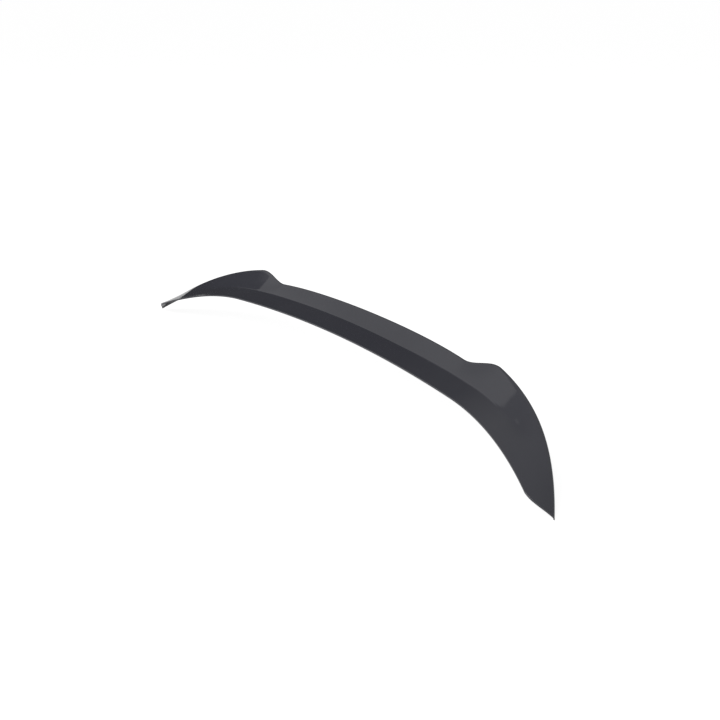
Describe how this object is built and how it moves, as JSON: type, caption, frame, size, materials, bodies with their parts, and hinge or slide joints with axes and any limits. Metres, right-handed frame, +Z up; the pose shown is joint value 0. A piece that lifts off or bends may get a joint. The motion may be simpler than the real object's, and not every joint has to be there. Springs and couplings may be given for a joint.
{
  "type": "car rear spoiler cap",
  "caption": "Long bowed rear spoiler cap in gloss black plastic: a creased sheet, open underneath, with raised ears and wings that sweep forward and down, bonded over a car's tail edge.",
  "frame": {"origin": "middle of the leading edge, on the underside, where the cap meets the panel that it is bonded to", "axes": "+X to the car's left-hand side, +Y to its rear, +Z up; the cap is the same on both sides of x = 0"},
  "size_m": [1.1198, 0.1415, 0.1185],
  "materials": {
    "gloss_black": "gloss outside, satin underneath"
  },
  "bodies": {
    "root": {"spoiler_cap": "gloss_black"}
  },
  "joints": []
}
